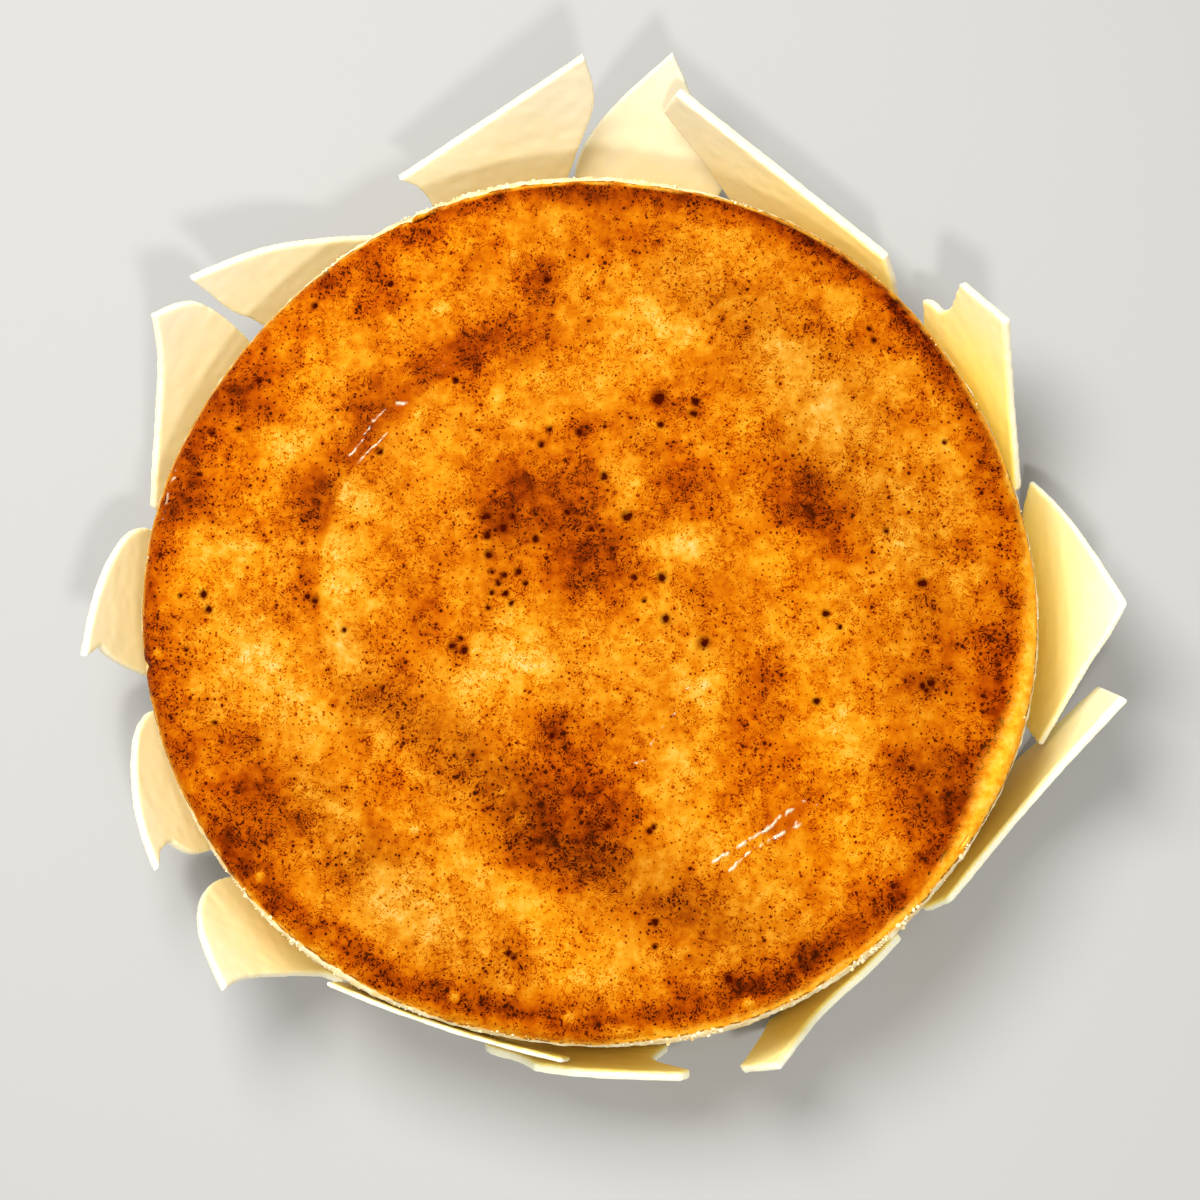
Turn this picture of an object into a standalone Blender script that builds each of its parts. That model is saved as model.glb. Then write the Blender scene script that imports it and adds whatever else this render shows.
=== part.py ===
"""New York cheesecake: one baked cake with fourteen white chocolate shards stood against its side.

Metres, +Z up. The cake's axis is Z and its flat base lies on z = 0. Azimuths are degrees, counter-clockwise
from +X. A shard's outline is drawn in millimetres on the flat plate: u runs counter-clockwise round the cake
from the plate's middle and v runs up the plate from its foot.
"""

import math

import bmesh
import bpy
from mathutils import Vector

MM = 0.001

# The cake: a 9 inch tin, 2 1/4 inches deep.
CAKE_RADIUS = 114.2
CAKE_HEIGHT = 55.0
SIDE_TAPER = 2.5
SIDE_BULGE_HEIGHT = 49.0
BASE_ROUND = 0.8
RIM_WIDTH = 4.5
RIM_DEPTH = 5.0
# How far the cake is out of round: (lobes, size in mm, azimuth of a lobe).
OUT_OF_ROUND = ((1, 0.5, 72.0), (2, 0.95, -10.0), (3, 0.8, -36.0), (6, 0.5, -9.0))
STEPS_ROUND = 96
TOP_RING_SPACING = 11.0

# The top: it has sunk a little inside a low ridge along the rim, and an inner disc stands proud of it.
TOP_SINK = 1.2
SINK_WIDTH = 20.0
DISC_CENTRE = (-6.0, 5.0)
DISC_RADIUS = 63.0
DISC_STEP = 0.8
DISC_STEP_WIDTH = 8.0
DISC_AZIMUTH = 185.0
DISC_SPREAD = 70.0

# The shards.
SHARD_GAP = 0.4
SHARD_EDGE = 0.35
BEND_SPACING = 14.0
CURL_HEIGHT = 60.0
GENTLE_TURN = 42.0
ROUNDING_PASSES = 2
SEAT_HEIGHTS = (0.0, 12.0, 24.0, 36.0, 48.0)
SEAT_STEPS = 40

# name: azimuth, lean out from upright, extra lean gained by 60 mm up, thickness, cup radius or 0, outline
SHARDS = {
    "shard_01": (107, 23, 5, 2.4, 0,
                 ((6, 0), (10, 29), (12, 35), (16, 39), (-41, 62), (-42, 46), (-33, 30), (-18, 0))),
    "shard_02": (84, 42, 3, 2.2, 0,
                 ((16, 0), (22, 19), (14, 37), (-5, 58), (-11, 46), (-21, 18), (-12, 0))),
    "shard_03": (53, 12, 0, 2.8, 0,
                 ((30, 0), (44, 20), (68, 38), (65, 51), (-5, 43), (-13, 26), (-15, 0))),
    "shard_04": (24, 14, 4, 2.4, 300,
                 ((32, 0), (40, 22), (44, 27), (42, 30), (38, 32), (36, 38), (39, 50), (23, 60),
                  (6, 41), (-13, 23), (-12, 0))),
    "shard_05": (-1, 18, 6, 2.0, 300,
                 ((24, 0), (42, 16), (29, 35), (2, 62), (-5, 54), (-12, 42), (-30, 19), (-18, 0))),
    "shard_06": (-34, 14, 0, 2.4, 0,
                 ((35, 0), (60, 27), (59, 36), (57, 52), (27, 32), (-8, 19), (-13, 5), (-12, 0))),
    "shard_07": (-52, 13, 0, 2.6, 250,
                 ((14, 0), (14, 7), (1, 14), (-9, 16), (-19, 24), (-33, 47), (-41, 30), (-32, 12),
                  (-28, 0))),
    "shard_08": (-93, 12, 0, 2.6, 0,
                 ((-23, 0), (-23, 10), (-21, 17), (-12, 24), (-7, 34), (5, 38), (31, 34), (33, 30),
                  (24, 23), (22, 17), (26, 0))),
    "shard_09": (-107, 2, 0, 1.4, 340,
                 ((-24, 0), (-34, 28), (-34, 50), (6, 49), (29, 46), (30, 33), (5, 25), (0, 0))),
    "shard_10": (-134, 16, 8, 2.4, 250,
                 ((-20, 0), (-24, 21), (-22, 35), (-15, 47), (-6, 54), (4, 60), (3, 50), (10, 26),
                  (14, 13), (18, 10), (17, 0))),
    "shard_11": (-159, 14, 8, 2.4, 220,
                 ((-18, 0), (-21, 23), (-17, 32), (-10, 39), (3, 46), (13, 49), (25, 50), (19, 45),
                  (17, 38), (21, 31), (21, 23), (18, 0))),
    "shard_12": (179, 14, 8, 2.4, 220,
                 ((-20, 0), (-24, 25), (-21, 37), (-9, 46), (4, 51), (16, 54), (12, 47), (15, 41),
                  (17, 24), (16, 0))),
    "shard_13": (153, 18, 8, 2.4, 250,
                 ((-23, 0), (-27, 26), (-27, 49), (-23, 56), (-16, 62), (-8, 51), (8, 39), (27, 26),
                  (23, 0))),
    "shard_14": (130, 20, 6, 2.4, 300,
                 ((-18, 0), (-22, 25), (-14, 33), (3, 48), (25, 58), (23, 47), (22, 39), (17, 27),
                  (13, 0))),
}


def clear_scene():
    for obj in list(bpy.data.objects):
        bpy.data.objects.remove(obj, do_unlink=True)


def make_material(name, colour, roughness):
    material = bpy.data.materials.new(name)
    material.use_nodes = True
    shader = material.node_tree.nodes["Principled BSDF"]
    shader.inputs["Base Color"].default_value = (*colour, 1.0)
    shader.inputs["Roughness"].default_value = roughness
    shader.inputs["Metallic"].default_value = 0.0
    material.diffuse_color = (*colour, 1.0)
    return material


def add_object(name, mesh, material, collection):
    obj = bpy.data.objects.new(name, mesh)
    collection.objects.link(obj)
    mesh.materials.clear()
    mesh.materials.append(material)
    return obj


def shade(obj, angle):
    obj.data.shade_smooth()
    obj.data.set_sharp_from_angle(angle=math.radians(angle))


def face_outward(bm):
    bmesh.ops.recalc_face_normals(bm, faces=bm.faces)
    if bm.calc_volume(signed=True) < 0.0:
        bmesh.ops.reverse_faces(bm, faces=bm.faces)


def ramp(value):
    """0 below 0, 1 above 1, and an even S between."""
    value = min(max(value, 0.0), 1.0)
    return value * value * (3.0 - 2.0 * value)


def rim_radius(azimuth):
    """The cake's radius in mm at an azimuth in radians."""
    radius = CAKE_RADIUS
    for lobes, size, first in OUT_OF_ROUND:
        radius += size * math.cos(lobes * (azimuth - math.radians(first)))
    return radius


def side_radius(azimuth, height):
    """The radius in mm of the cake's side at a height in mm."""
    rise = min(height / SIDE_BULGE_HEIGHT, 1.0)
    return rim_radius(azimuth) - SIDE_TAPER * (1.0 - math.sin(rise * math.pi / 2.0))


def top_drop(x, y):
    """How far in mm the top lies below the cake's full height."""
    radius = math.hypot(x, y)
    azimuth = math.atan2(y, x)
    inward = (rim_radius(azimuth) - RIM_WIDTH - radius) / SINK_WIDTH
    drop = TOP_SINK * ramp(inward)
    dx = x - DISC_CENTRE[0]
    dy = y - DISC_CENTRE[1]
    inside = (DISC_RADIUS - math.hypot(dx, dy)) / DISC_STEP_WIDTH + 0.5
    away = math.degrees(math.atan2(dy, dx)) - DISC_AZIMUTH
    away = abs((away + 180.0) % 360.0 - 180.0)
    drop -= DISC_STEP * ramp(inside) * ramp(2.0 - away / DISC_SPREAD)
    return drop


def cake_profile():
    """Half of the cake's section, from the base to the centre, as (inset from the rim, height) in mm."""
    points = [(SIDE_TAPER + BASE_ROUND, 0.0), (SIDE_TAPER, BASE_ROUND)]
    for part in range(1, 5):
        height = SIDE_BULGE_HEIGHT * part / 4.0
        points.append((SIDE_TAPER * (1.0 - math.sin(part * math.pi / 8.0)), height))
    for part in range(1, 6):
        angle = part * math.pi / 10.0
        inset = RIM_WIDTH * (1.0 - math.cos(angle))
        height = CAKE_HEIGHT - RIM_DEPTH * (1.0 - math.sin(angle))
        points.append((inset, height))
    rings = int((CAKE_RADIUS - RIM_WIDTH) / TOP_RING_SPACING)
    for ring in range(1, rings + 1):
        inset = RIM_WIDTH + (CAKE_RADIUS - RIM_WIDTH) * ring / (rings + 1)
        points.append((inset, CAKE_HEIGHT))
    return points


def build_cake(collection):
    """The profile spun about Z, then each point moved out to the true outline and down to the true top."""
    bm = bmesh.new()
    profile = cake_profile()
    line = [bm.verts.new(((CAKE_RADIUS - inset) * MM, 0.0, height * MM)) for inset, height in profile]
    edges = [bm.edges.new(pair) for pair in zip(line, line[1:])]
    bmesh.ops.spin(bm, geom=line + edges, cent=(0, 0, 0), axis=(0, 0, 1), dvec=(0, 0, 0),
                   angle=2.0 * math.pi, steps=STEPS_ROUND, use_duplicate=False)
    bmesh.ops.remove_doubles(bm, verts=bm.verts, dist=1e-6)
    bmesh.ops.holes_fill(bm, edges=[edge for edge in bm.edges if edge.is_boundary], sides=0)
    caps = [face for face in bm.faces if len(face.verts) > 4]
    bmesh.ops.poke(bm, faces=caps)
    for vert in bm.verts:
        x, y, z = vert.co / MM
        radius = math.hypot(x, y)
        azimuth = math.atan2(y, x)
        scale = rim_radius(azimuth) / CAKE_RADIUS
        x *= scale
        y *= scale
        if radius < CAKE_RADIUS - RIM_WIDTH + 0.01 and z > CAKE_HEIGHT / 2.0:
            z = CAKE_HEIGHT - top_drop(x, y)
        vert.co = Vector((x, y, z)) * MM
    face_outward(bm)
    mesh = bpy.data.meshes.new("cake")
    bm.to_mesh(mesh)
    bm.free()
    cake = add_object("cake", mesh, make_material("baked_cheesecake", (0.80, 0.42, 0.10), 0.45), collection)
    shade(cake, 40.0)
    return cake


def rounded(outline):
    """The outline with its gentle corners rounded off and its sharp ones kept."""
    points = [Vector(point) for point in outline]
    for _ in range(ROUNDING_PASSES):
        made = []
        for before, here, after in zip(points[-1:] + points[:-1], points, points[1:] + points[:1]):
            if (here - before).angle(after - here) > math.radians(GENTLE_TURN):
                made.append(here)
            else:
                made.append(here.lerp(before, 0.25))
                made.append(here.lerp(after, 0.25))
        points = made
    return points


def flat_plate(name, outline, thickness):
    """The outline filled and thickened. It stands in the XZ plane, with its faces towards -Y and +Y."""
    curve = bpy.data.curves.new(name, "CURVE")
    curve.dimensions = "2D"
    curve.fill_mode = "BOTH"
    curve.extrude = (thickness / 2.0 - SHARD_EDGE) * MM
    curve.bevel_depth = SHARD_EDGE * MM
    curve.bevel_resolution = 0
    curve.offset = -SHARD_EDGE * MM
    spline = curve.splines.new("POLY")
    corners = rounded(outline)
    spline.points.add(len(corners) - 1)
    for point, (u, v) in zip(spline.points, corners):
        point.co = (u * MM, v * MM, 0.0, 1.0)
    spline.use_cyclic_u = True
    holder = bpy.data.objects.new(name + "_outline", curve)
    bpy.context.scene.collection.objects.link(holder)
    graph = bpy.context.evaluated_depsgraph_get()
    mesh = bpy.data.meshes.new_from_object(holder.evaluated_get(graph))
    bpy.data.objects.remove(holder, do_unlink=True)
    return mesh


def seat_distance(azimuth, lean, cup, thickness, outline):
    """The least distance in mm from the axis to the foot of the plate's middle that clears the cake."""
    middle = math.radians(azimuth)
    low = min(u for u, v in outline)
    high = max(u for u, v in outline)
    distance = 0.0
    for step in range(SEAT_STEPS + 1):
        u = low + (high - low) * step / SEAT_STEPS
        curve = u * u / (2.0 * cup) if cup else 0.0
        for height in SEAT_HEIGHTS:
            away = math.atan2(u, CAKE_RADIUS)
            side = side_radius(middle + away, height)
            across = math.sqrt(max(side * side - u * u, 0.0))
            distance = max(distance, across + curve - height * math.tan(lean))
    return distance + SHARD_GAP + thickness / 2.0 / math.cos(lean)


def bend_point(point, azimuth, lean, curl, cup, foot):
    """Where a point of the flat plate (u, v and w through its thickness, in mm) ends up beside the cake."""
    u, v, w = point
    bend = curl / CURL_HEIGHT
    if bend:
        out = (math.cos(lean) - math.cos(lean + bend * v)) / bend
        up = (math.sin(lean + bend * v) - math.sin(lean)) / bend
    else:
        out = v * math.sin(lean)
        up = v * math.cos(lean)
    if cup:
        along = math.sin(u / cup) * cup
        inward = (1.0 - math.cos(u / cup)) * cup
    else:
        along = u
        inward = 0.0
    tilt = lean + bend * v
    radius = foot + out + (w - inward) * math.cos(tilt)
    height = up - (w - inward) * math.sin(tilt)
    x = math.cos(azimuth) * radius - math.sin(azimuth) * along
    y = math.sin(azimuth) * radius + math.cos(azimuth) * along
    return Vector((x, y, height)) * MM


def build_shard(name, material, collection):
    azimuth, lean, curl, thickness, cup, outline = SHARDS[name]
    tilt = math.radians(lean)
    foot = seat_distance(azimuth, tilt, cup, thickness, outline)
    bm = bmesh.new()
    bm.from_mesh(flat_plate(name, outline, thickness))
    bmesh.ops.remove_doubles(bm, verts=bm.verts, dist=1e-6)
    bmesh.ops.dissolve_limit(bm, angle_limit=math.radians(1.0), verts=bm.verts, edges=bm.edges)
    if curl:
        cut_across(bm, Vector((0.0, 1.0, 0.0)))
    if cup:
        cut_across(bm, Vector((1.0, 0.0, 0.0)))
    for vert in bm.verts:
        point = vert.co / MM
        vert.co = bend_point(point, math.radians(azimuth), tilt, math.radians(curl), cup, foot)
    lowest = min(vert.co.z for vert in bm.verts)
    for vert in bm.verts:
        vert.co.z -= lowest
    face_outward(bm)
    mesh = bpy.data.meshes.new(name)
    bm.to_mesh(mesh)
    bm.free()
    shard = add_object(name, mesh, material, collection)
    shade(shard, 30.0)
    return shard


def cut_across(bm, direction):
    """Straight cuts through the plate at an even spacing, so that it can bend along them."""
    reach = [vert.co.dot(direction) / MM for vert in bm.verts]
    first = math.floor(min(reach) / BEND_SPACING) + 1
    last = math.ceil(max(reach) / BEND_SPACING)
    for step in range(first, last):
        geom = bm.verts[:] + bm.edges[:] + bm.faces[:]
        place = direction * step * BEND_SPACING * MM
        bmesh.ops.bisect_plane(bm, geom=geom, plane_co=place, plane_no=direction)


def build():
    clear_scene()
    collection = bpy.data.collections.new("new_york_cheesecake")
    bpy.context.scene.collection.children.link(collection)
    build_cake(collection)
    chocolate = make_material("white_chocolate", (0.93, 0.83, 0.62), 0.35)
    for name in SHARDS:
        build_shard(name, chocolate, collection)


build()
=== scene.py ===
"""The looks of the New York cheesecake: its browned, pitted top, its crumbly side and its white chocolate.

Lengths are in millimetres and become metres where a mesh is made. Places on the cake's top are (x, y) from
its axis. Azimuths are degrees, counter-clockwise from +X.
"""

import itertools
import math

import bmesh
import bpy
import numpy as np
from mathutils import Matrix, Vector


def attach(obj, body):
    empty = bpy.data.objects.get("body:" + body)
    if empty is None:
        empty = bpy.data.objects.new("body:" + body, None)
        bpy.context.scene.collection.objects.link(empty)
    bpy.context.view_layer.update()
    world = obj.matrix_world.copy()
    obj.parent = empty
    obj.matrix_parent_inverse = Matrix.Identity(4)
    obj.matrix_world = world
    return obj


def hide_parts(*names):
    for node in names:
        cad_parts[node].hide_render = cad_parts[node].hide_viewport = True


MM = 0.001

# The camera: almost straight above, a little towards the viewer and to the right.
CAMERA_TARGET = (3.8, 0.9, 55.0)
CAMERA_DISTANCE = 715.0
CAMERA_TILT = 9.87
CAMERA_SIDE = 21.2
CAMERA_LENS = 83.8
SENSOR = 36.0

# The lamps. Each: azimuth, elevation, distance, size, watts. The key stands high on the viewer's side
# and the broad fill high on the far left. An even pale surround does the rest.
LAMPS = {
    "key": (-71.0, 64.5, 900.0, 85.0, 3.6),
    "fill": (127.0, 68.0, 900.0, 450.0, 10.0),
}
SURROUND = 0.6
# The top's colours are divided by this, so that they show about as written under these lamps.
TOP_LIGHT = 1.96
FLOOR_SIZE = 6000.0
FLOOR_COLOUR = (162, 161, 158)

# The cake's visible surface.
TOP_CELLS = 200
# The net is split again, and again, within these multiples of a small form's reach.
FINE_REACH = (1.6, 1.15)
# It is split only where it leans out by less than this, in radians.
FINE_TURN = 0.9
SHOULDER_TURN = 60.0
SHOULDER_RINGS = 6
SIDE_RINGS = 40
SHOULDER_WIDTH = 4.0
SHOULDER_DEPTH = 4.5
FOOT_ROUND = 0.8
# The top's relief: how far it sinks inside the rim, from where and over how wide a band, how high the disc's
# edge steps up, and how deep the dark spots and the glazed hollows are.
TOP_SINK = 1.2
SINK_START = 7.0
SINK_WIDTH = 20.0
DISC_STEP = 0.8
SPOT_DEPTH = 0.9
GLAZED_DEPTH = 0.25

# The spacing of the shards' nets, and how many passes soften their corners.
SHARD_VOXEL = 0.6
SHARD_SMOOTHING = 3

# Where the top is browner and where it is paler. Each row: x, y, radius, strength.
BROWN_PATCHES = (
    (-20, 28, 9, 1.0), (-8, 20, 12, 0.8), (5, 14, 10, 0.9), (-3, 3, 6, 0.5), (-22, 37, 6, 0.5),
    (-5, 34, 9, 0.4), (-30, 67, 8, 1.0), (-16, 70, 7, 0.6), (-45, 62, 7, 0.6), (-57, 52, 6, 0.6),
    (-55, 44, 4, 0.4), (-70, 28, 7, 0.6), (-68, 40, 6, 0.4), (-12, 86, 6, 0.9), (-53, 83, 6, 0.6),
    (-90, 54, 9, 0.7), (-82, 62, 7, 0.4), (-101, 28, 7, 0.8), (-104, 38, 6, 0.5), (18, 54, 5, 0.7),
    (27, 51, 4, 0.6), (26, 32, 9, 0.7), (55, 29, 7, 0.9), (62, 24, 9, 0.7), (50, 38, 8, 0.4),
    (62, 14, 7, 0.4), (45, -17, 5, 0.5), (43, -32, 8, 0.5), (86, 4, 5, 0.5), (87, -20, 5, 0.5),
    (93, -10, 10, 0.4), (88, -48, 12, 0.7), (82, -42, 6, 0.6), (-8, -34, 5, 0.8), (-2, -52, 13, 1.0),
    (-8, -64, 8, 0.9), (8, -58, 8, 0.7), (-15, -50, 8, 0.5), (-27, -42, 10, 0.4), (-40, -32, 8, 0.35),
    (-52, -23, 7, 0.5), (-42, -2, 8, 0.5), (-32, -11, 4, 0.6), (-90, -37, 8, 0.6), (-85, -50, 9, 0.7),
    (-75, -57, 7, 0.4), (-60, -68, 6, 0.4), (-50, -60, 5, 0.3), (-17, -88, 5, 0.5), (30, -76, 12, 0.5),
    (20, -78, 6, 0.3), (-36, 60, 6, 0.5), (-68, 82, 6, 0.5), (-57, 94, 5, 0.4), (-35, 79, 5, 0.3),
    (-24, 81, 5, 0.3), (-10, 45, 5, 0.3), (33, 55, 4, 0.3), (24, 42, 4, 0.3), (40, 68, 7, 0.4),
    (45, 85, 4, 0.2), (-17, 13, 6, 0.3), (-25, 2, 6, 0.35), (-9, -27, 5, 0.5), (-2, -36, 5, 0.5),
    (-25, -50, 5, 0.3), (-33, -43, 4, 0.25), (-47, -30, 4, 0.25), (48, -27, 7, 0.35), (72, -29, 5, 0.25),
    (90, -30, 6, 0.4), (100, 17, 5, 0.35), (-98, 42, 4, 0.2), (-80, 28, 5, 0.3), (-95, 25, 4, 0.25),
    (-46, -8, 5, 0.25), (-22, -82, 5, 0.25), (22, -103, 5, 0.3), (40, -97, 6, 0.4), (52, -98, 6, 0.3),
    (78, -78, 4, 0.25), (-91, -66, 5, 0.3), (75, 68, 4, 0.2), (4, -68, 6, 0.25), (-46, 99, 4, 0.2),
    (60, -62, 4, 0.4), (15, 97, 8, 0.5), (-28, 94, 6, 0.3), (35, 82, 7, 0.35), (58, 72, 8, 0.35),
    (72, 70, 4, 0.5), (84, 48, 5, 0.4), (-3, 46, 4, 0.4), (45, -46, 10, 0.3), (38, 4, 8, 0.25),
)
PALE_PATCHES = (
    (-24, -17, 9, 1.0), (-15, -12, 7, 0.6), (30, -22, 7, 0.9), (-85, -13, 8, 1.0), (-78, -25, 7, 0.7),
    (-72, -34, 7, 0.5), (-80, 42, 6, 0.9), (-72, 58, 7, 0.5), (-97, 12, 8, 0.8), (-62, 5, 6, 0.8),
    (-65, 15, 5, 0.7), (-62, 28, 6, 0.5), (5, 60, 8, 0.7), (-15, 57, 7, 0.5), (-36, 50, 7, 0.5),
    (15, 73, 9, 0.6), (55, 55, 8, 0.6), (48, 65, 7, 0.6), (62, 47, 7, 0.4), (25, 15, 6, 0.7),
    (35, -65, 9, 0.8), (25, -45, 8, 0.5), (67, -34, 8, 0.8), (70, -58, 7, 0.6), (-40, -78, 9, 0.7),
    (-52, -74, 7, 0.5), (-10, -82, 7, 0.6), (8, -95, 8, 0.7), (-8, -96, 8, 0.5), (37, 98, 7, 0.6),
    (-72, 43, 6, 0.7), (-85, 12, 7, 0.7), (-104, 10, 5, 0.6), (-82, 67, 6, 0.5), (-78, -33, 7, 0.5),
    (-70, -28, 6, 0.5), (-55, -6, 4, 0.4), (-31, 75, 5, 0.4), (-17, 95, 4, 0.5), (7, 76, 4, 0.4),
    (15, 58, 5, 0.5), (0, 60, 5, 0.3), (-24, 50, 5, 0.4), (15, 30, 5, 0.5), (24, 25, 5, 0.4),
    (52, 17, 6, 0.5), (60, 9, 6, 0.5), (62, 25, 5, 0.3), (75, 4, 5, 0.3), (35, -25, 4, 0.4),
    (27, -64, 5, 0.4), (48, -67, 6, 0.5), (-41, -55, 5, 0.6), (-57, -62, 4, 0.4), (-16, -72, 6, 0.9),
    (-8, -79, 5, 0.4), (-30, -91, 5, 0.4), (18, -95, 5, 0.4), (93, -45, 6, 0.5), (80, -46, 6, 0.4),
    (60, 88, 5, 0.5), (71, 79, 5, 0.5), (85, 62, 5, 0.5), (38, 98, 5, 0.3), (15, 104, 4, 0.3),
    (90, 38, 5, 0.4), (19, -49, 5, 0.4), (-42, 100, 6, 0.4), (82, 10, 6, 0.5), (62, -8, 8, 0.4),
    (-30, -60, 8, 0.3), (48, 14, 5, 0.5),
)
# Where the brown is a duller tan, and where it is a brighter orange. Each row: x, y, radius, strength.
TAN_PATCHES = (
    (-62, -12, 8, 0.5), (-54, -24, 8, 0.9), (-42, -30, 8, 0.9), (-32, -38, 8, 1.0), (-22, -46, 8, 1.0),
    (-15, -56, 7, 0.9), (-4, -66, 7, 0.7), (6, -68, 8, 0.8), (16, -72, 9, 0.8), (28, -78, 9, 0.9),
    (42, -84, 8, 0.7), (55, -86, 7, 0.5), (-72, -46, 8, 0.5), (-66, -56, 9, 0.7), (-56, -66, 9, 0.8),
    (-48, -76, 9, 0.8), (-36, -86, 9, 0.6), (-22, -92, 9, 0.6), (24, 88, 7, 0.6), (34, 80, 8, 0.7),
    (46, 72, 9, 0.7), (58, 64, 10, 0.7), (58, 50, 10, 0.7), (64, 38, 10, 0.8), (72, 52, 10, 0.5),
    (76, 28, 9, 0.6), (84, 14, 9, 0.5), (86, -4, 8, 0.5), (86, -22, 8, 0.5), (86, -42, 8, 0.4),
    (-24, 16, 7, 0.4), (-54, 44, 7, 0.5), (-64, 32, 6, 0.4), (-94, -28, 6, 0.3), (-84, -34, 8, 0.3),
    (92, 28, 9, 0.4),
)
ORANGE_PATCHES = (
    (-95, 40, 14, 0.6), (-80, 72, 16, 0.8), (-58, 90, 16, 0.8), (-30, 100, 14, 0.5), (-104, 10, 12, 0.5),
    (60, -30, 20, 0.5), (38, -48, 14, 0.4), (-15, -78, 10, 0.4), (0, -88, 10, 0.5), (-50, -44, 8, 0.4),
    (60, -62, 14, 0.3), (50, 10, 14, 0.4), (30, 40, 14, 0.3), (-32, 68, 10, 0.3), (70, -60, 12, 0.4),
    (-2, -44, 8, 0.4), (108, -20, 10, 0.8), (104, 20, 9, 0.4), (84, 78, 10, 0.5), (-100, -50, 12, 0.4),
)
# The dark ring inside the rim. Each row: azimuth, strength, distance in from the skin's edge.
RING = (
    (0, 0.5, 6.5), (12, 0.4, 5.0), (30, 0.9, 2.6), (50, 1.1, 2.0), (70, 1.1, 1.6), (90, 1.1, 1.6),
    (100, 0.9, 1.8), (112, 0.9, 2.2), (125, 0.4, 3.5), (145, 0.35, 3.5), (160, 0.6, 3.0), (172, 0.7, 2.6),
    (188, 0.9, 2.4), (205, 0.5, 3.0), (217, 0.9, 3.5), (232, 0.8, 4.5), (250, 0.9, 5.0), (270, 0.9, 6.0),
    (285, 0.8, 6.0), (300, 0.9, 6.0), (312, 0.8, 4.8), (325, 0.6, 5.0), (335, 0.65, 8.0), (350, 0.8, 8.0),
)
RING_WIDTH = 3.6

# Burst bubbles, baked dark. Each row: x, y, radius.
DARK_SPOTS = (
    (18.5, 54, 1.7), (28, 53, 1.0), (27.5, 50, 0.9), (19, 47, 0.8), (10.5, 23, 1.3), (-26, 23, 1.4),
    (-21.5, 20, 1.3), (-25.5, 18, 1.1), (-25, 13, 1.1), (-19, 23, 0.9), (-24.5, 8.5, 0.8),
    (-21, 7.5, 0.8), (-17.5, 8.5, 0.8), (-22.5, 5.5, 0.8), (-24, 3, 0.7), (-20.5, 2.5, 0.8),
    (-15.5, 5.5, 0.7), (-19, 0, 0.7), (-25, -1, 0.7), (19.5, 7, 1.2), (20.5, -4, 1.1), (30.5, -10, 1.4),
    (12.5, 7, 0.8), (15, 1, 0.6), (4.5, 33.5, 1.0), (-2, 45, 1.0), (-10, 46, 0.8), (-12, 42, 0.9),
    (-34.5, 59, 0.8), (-54, 40, 0.9), (-99, 2.5, 0.9), (-97.5, -1.5, 0.9), (-70, 1, 1.0), (-72, 2, 0.7),
    (-62, -7, 0.7), (-34, -11, 1.0), (-31, -12, 1.0), (-32, -9, 0.7), (-52, -22, 0.7), (59, -25, 0.9),
    (61.5, -2.5, 0.9), (65, -6, 0.6), (77, 19, 0.8), (86, 5.5, 1.1), (88, -20, 1.2), (86, -21, 0.9),
    (87, -22, 0.8), (92, 42, 0.7), (74, 69, 0.8), (73, 72, 0.7), (-72, 79, 0.8), (-52, 85, 0.7),
    (-11, 86, 0.9), (37, -95, 1.3), (18.5, -81, 0.9), (18.5, -87, 0.7), (-17, -90, 0.8),
    (-18.5, -89, 0.7), (17, -58, 0.8), (18, -57, 0.7), (6, -57, 0.8), (-8, -34, 1.0), (-113.5, -16, 1.2),
    (83, -42, 0.8), (-95, -31, 0.7), (-103, -12, 0.6), (-105, 2, 0.6), (-101, 34, 0.6), (-98, 45, 0.7),
    (-91, 46, 0.7), (-86, 59, 0.7), (-93, 53, 0.6), (-5, 24, 0.8), (1, 20, 0.8), (-13, 17, 0.9),
)

# Thin dark cracks in the skin. Each: half width, path.
CREASES = (
    (0.40, ((-49, 103), (-46, 102), (-43, 103), (-41, 105))),
    (0.30, ((-59, -97), (-54, -99))),
    (0.22, ((95, -62), (97, -59))),
    (0.22, ((27, 54), (29, 52))),
    (0.20, ((-21, -110), (-18, -110))),
)

# The edge of the disc that stands proud on the left of the top.
DISC_CENTRE = (-6.0, 5.0)
DISC_RADIUS = 63.0
DISC_AZIMUTH = 185.0
DISC_SPREAD = 70.0

# How far the pale crumb reaches in over the rim, and the amber shoulder inside it.
# Each row: azimuth, mm, mm.
EDGE = (
    (0, 0.15, 3.0), (12, 0.1, 1.6), (30, 0.1, 1.2), (50, 0.2, 1.1), (66, 0.7, 1.0), (78, 1.6, 0.6),
    (90, 1.9, 0.5), (104, 1.9, 0.5), (115, 1.7, 0.5), (124, 0.6, 0.6), (145, 0.3, 0.7), (165, 0.3, 0.7),
    (187, 0.1, 0.4), (204, 0.3, 0.5), (220, 0.9, 0.5), (235, 1.7, 0.4), (246, 1.2, 0.4), (256, 0.5, 0.7),
    (272, 0.4, 0.7), (284, 1.1, 1.4), (296, 0.6, 1.6), (310, 1.0, 1.8), (322, 0.5, 2.6), (332, 0.2, 5.0),
    (338, 0.15, 7.0), (347, 0.15, 5.0),
)

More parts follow.
